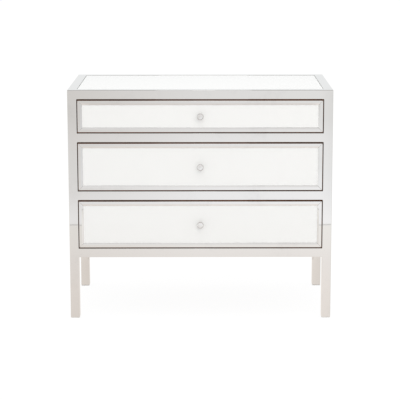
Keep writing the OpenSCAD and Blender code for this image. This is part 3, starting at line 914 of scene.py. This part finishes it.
class FinishBoards(bpy.types.Operator):
    """Eases the boards' edges and gives each its timber or lacquer."""
    bl_idname = "nightstand.finish_boards"
    bl_label = "Finish the boards"

    def execute(self, context):
        settings = context.scene.nightstand_wood
        dark = (settings.dark_low, settings.dark_high)
        birch = (settings.birch_low, settings.birch_high)
        dark_across = timber("dark_veneer_across", *dark, ALONG_X, **DARK_VENEER)
        dark_deep = timber("dark_veneer_deep", *dark, ALONG_Y, **DARK_VENEER)
        birch_across = timber("birch_across", *birch, ALONG_X, **BIRCH)
        birch_deep = timber("birch_deep", *birch, ALONG_Y, **BIRCH)
        lacquer = lacquered_board()
        for name in ("sub_top", "bottom_panel", "back_panel"):
            paint_node(name, dark_across)
            ease_node(name, settings.edge_radius)
        paint_node("slide_battens", dark_deep)
        for name in ("left_side_panel", "right_side_panel"):
            paint_node(name, lacquer)
            ease_node(name, settings.edge_radius)
        for drawer in DRAWERS:
            paint_node(drawer + "_drawer_front_board", dark_across)
            ease_node(drawer + "_drawer_front_board", settings.edge_radius)
            for part, finish in (("front", birch_across), ("back", birch_across),
                                 ("sides", birch_deep), ("bottom", birch_across)):
                paint_node(drawer + "_drawer_box_" + part, finish)
        return {"FINISHED"}


class FinishMetalwork(bpy.types.Operator):
    """Plates the slides and screws, and gives the tabs and glides their finish."""
    bl_idname = "nightstand.finish_metalwork"
    bl_label = "Finish slides, screws and glides"

    def execute(self, context):
        zinc = zinc_plate()
        paint_node("case_screws", zinc)
        paint_node("support_tabs", steel_finish(context))
        paint_node("leg_glides", moulded_nylon())
        for drawer in DRAWERS:
            paint_node(drawer + "_drawer_screws", zinc)
            for part in ("inner_members", "ball_cages", "outer_members"):
                paint_node(drawer + "_slide_" + part, zinc)
        return {"FINISHED"}


class SetStage(bpy.types.Operator):
    """Sets the floor, the room that metal reflects, the lamps and the camera."""
    bl_idname = "nightstand.set_stage"
    bl_label = "Set the stage"

    def execute(self, context):
        settings = context.scene.nightstand_stage
        context.scene.view_settings.view_transform = "Standard"
        self.lay_floor(settings)
        self.light_room(context, settings)
        self.hang_lamps(context, settings)
        self.place_camera(context, settings)
        return {"FINISHED"}

    def lay_floor(self, settings):
        deselect_all()
        bpy.ops.mesh.primitive_plane_add(size=settings.floor_size)
        floor = bpy.context.object
        floor.name = "floor"
        floor.data.materials.append(self.floor_material(settings))

    def floor_material(self, settings):
        """White to the camera apart from the object's shadow, and pale to dull surfaces.

        Polished metal sees instead the painted reflection of FLOOR_IN_METAL, a glow with painted shade
        near the nightstand.
        """
        material, wiring, shader, place = start_material("floor_white")
        rays = wiring.node("ShaderNodeLightPath")
        metal = self.first_glance(wiring, rays)
        camera = rays.outputs["Is Camera Ray"]
        base = wiring.blend(metal, wiring.blend(camera, DULL_FLOOR, SHADOW_PAINT), MIRRORED_PAINT)
        glow = wiring.blend(camera, BLACK, CAMERA_WHITE)
        # To polished metal the floor glows in a painted reflection, with painted shade near the
        # nightstand
        glow = wiring.blend(metal, glow, self.floor_in_metal(wiring, place, settings))
        wiring.tree.links.new(base, shader.inputs["Base Color"])
        wiring.tree.links.new(glow, shader.inputs["Emission Color"])
        shader.inputs["Emission Strength"].default_value = 1.0
        shader.inputs["Roughness"].default_value = 1.0
        shader.inputs["Specular IOR Level"].default_value = 0.0
        return material

    def floor_in_metal(self, wiring, place, settings):
        """The floor's painted reflection by depth and side, with the painted shade between the legs
        and the seam.
        """
        split = wiring.node("ShaderNodeSeparateXYZ", {0: place}).outputs
        depth = wiring.spread(split["Y"], FLOOR_START, 0.0)
        reach = wiring.take(IMAGE_REACH, wiring.times(split["Y"], IMAGE_GROWTH))
        side = wiring.over(split["X"], reach)
        across = wiring.spread(side, -SIDES_REACH, SIDES_REACH)
        sides = wiring.blend(
            wiring.spread(depth, *NEAR_SIDES), self.ramp(wiring, across, FAR_SIDES_IN_METAL),
            self.ramp(wiring, across, NEAR_SIDES_IN_METAL))
        # Painted shade and a painted lighter strip in the floor's reflection, between the legs only
        between_legs = wiring.spread(wiring.maths("ABSOLUTE", side), *LEG_EDGES)
        band = wiring.times(wiring.spread(depth, *SHADE_DEEPENS), wiring.spread(depth, *SHADE_TURNS))
        shade = wiring.times(between_legs, band)
        from_seam = wiring.maths("ABSOLUTE", wiring.take(depth, settings.floor_seam))
        seam = wiring.spread(from_seam, *SEAM_LINE)
        light = wiring.times(wiring.take(1.0, shade), wiring.take(1.0, seam))
        tone = wiring.node("ShaderNodeVectorMath", {
            0: self.ramp(wiring, depth, FLOOR_IN_METAL), 1: sides}, operation="MULTIPLY").outputs[0]
        return wiring.node("ShaderNodeVectorMath", {0: tone, "Scale": light},
                           operation="SCALE").outputs[0]

    def first_glance(self, wiring, rays):
        """1 for what a mirror shows straight away, 0 for light that has bounced off a dull surface."""
        straight = wiring.maths("LESS_THAN", rays.outputs["Diffuse Depth"], 0.5)
        return wiring.times(rays.outputs["Is Glossy Ray"], straight)

    def ramp(self, wiring, value, stops):
        node = wiring.node("ShaderNodeValToRGB", {"Fac": value})
        elements = node.color_ramp.elements
        elements[0].position, elements[0].color = stops[0][0], (*stops[0][1], 1)
        elements[1].position, elements[1].color = stops[-1][0], (*stops[-1][1], 1)
        for position, colour in stops[1:-1]:
            elements.new(position).color = (*colour, 1)
        return node.outputs["Color"]

    def light_room(self, context, settings):
        """White to the camera and an even pale grey to dull surfaces.

        Polished metal sees SKY_BEHIND and SKY_IN_FRONT: pale walls, a darker ceiling, and in front
        a grey lower wall with a dark line over it.
        """
        world = bpy.data.worlds.new("studio")
        context.scene.world = world
        world.use_nodes = True
        wiring = Wiring(world.node_tree)
        background = world.node_tree.nodes["Background"]
        place = wiring.node("ShaderNodeTexCoord").outputs["Generated"]
        way = wiring.node("ShaderNodeSeparateXYZ", {0: place}).outputs
        behind = self.ramp(wiring, way["Z"], SKY_BEHIND)
        front = self.ramp(wiring, way["Z"], SKY_IN_FRONT)
        dome = wiring.blend(wiring.spread(way["Y"], *ROOM_TURN), front, behind)
        rays = wiring.node("ShaderNodeLightPath")
        room = wiring.blend(self.first_glance(wiring, rays), DULL_ROOM, dome)
        colour = wiring.blend(rays.outputs["Is Camera Ray"], room, WHITE)
        wiring.tree.links.new(colour, background.inputs["Color"])
        background.inputs["Strength"].default_value = settings.sky_strength

    def hang_lamps(self, context, settings):
        """Two softboxes that metal doesn't see, and a ceiling panel and a strip light that it does."""
        for name, power, place, tilt, size, seen in LAMPS:
            lamp = bpy.data.lights.new(name, "AREA")
            lamp.shape = "RECTANGLE"
            lamp.size, lamp.size_y = size
            lamp.energy = getattr(settings, power)
            box = bpy.data.objects.new(name, lamp)
            context.scene.collection.objects.link(box)
            box.location = place
            box.rotation_euler = (math.radians(tilt), 0, 0)
            box.visible_glossy = seen

    def place_camera(self, context, settings):
        lens = bpy.data.cameras.new("camera")
        lens.sensor_width = 36
        lens.lens = settings.lens
        lens.shift_x = settings.camera_shift
        lens.clip_end = 200
        camera = bpy.data.objects.new("camera", lens)
        context.scene.collection.objects.link(camera)
        camera.location = settings.camera_place
        camera.rotation_euler = (QUARTER - settings.camera_pitch, 0, settings.camera_yaw)
        context.scene.camera = camera


STEPS = (
    WeldFrame, MitreTrims, LayTopGlass, FitDrawerGlass, TurnKnobs, FinishBoards, FinishMetalwork,
    SetStage,
)


class NightstandPanel(bpy.types.Panel):
    """Lists the steps that dress the nightstand."""
    bl_idname = "VIEW3D_PT_nightstand"
    bl_label = "Nightstand"
    bl_space_type = "VIEW_3D"
    bl_region_type = "UI"
    bl_category = "Nightstand"

    def draw(self, context):
        for step in STEPS:
            self.layout.operator(step.bl_idname)


def register():
    for name, group in SETTINGS:
        bpy.utils.register_class(group)
        setattr(bpy.types.Scene, name, bpy.props.PointerProperty(type=group))
    for step in STEPS:
        bpy.utils.register_class(step)
    bpy.utils.register_class(NightstandPanel)


def unregister():
    bpy.utils.unregister_class(NightstandPanel)
    for step in reversed(STEPS):
        bpy.utils.unregister_class(step)
    for name, group in reversed(SETTINGS):
        delattr(bpy.types.Scene, name)
        bpy.utils.unregister_class(group)


def main():
    register()
    for step in STEPS:
        family, action = step.bl_idname.split(".")
        getattr(getattr(bpy.ops, family), action)()
    deselect_all()


if __name__ == "__main__":
    main()
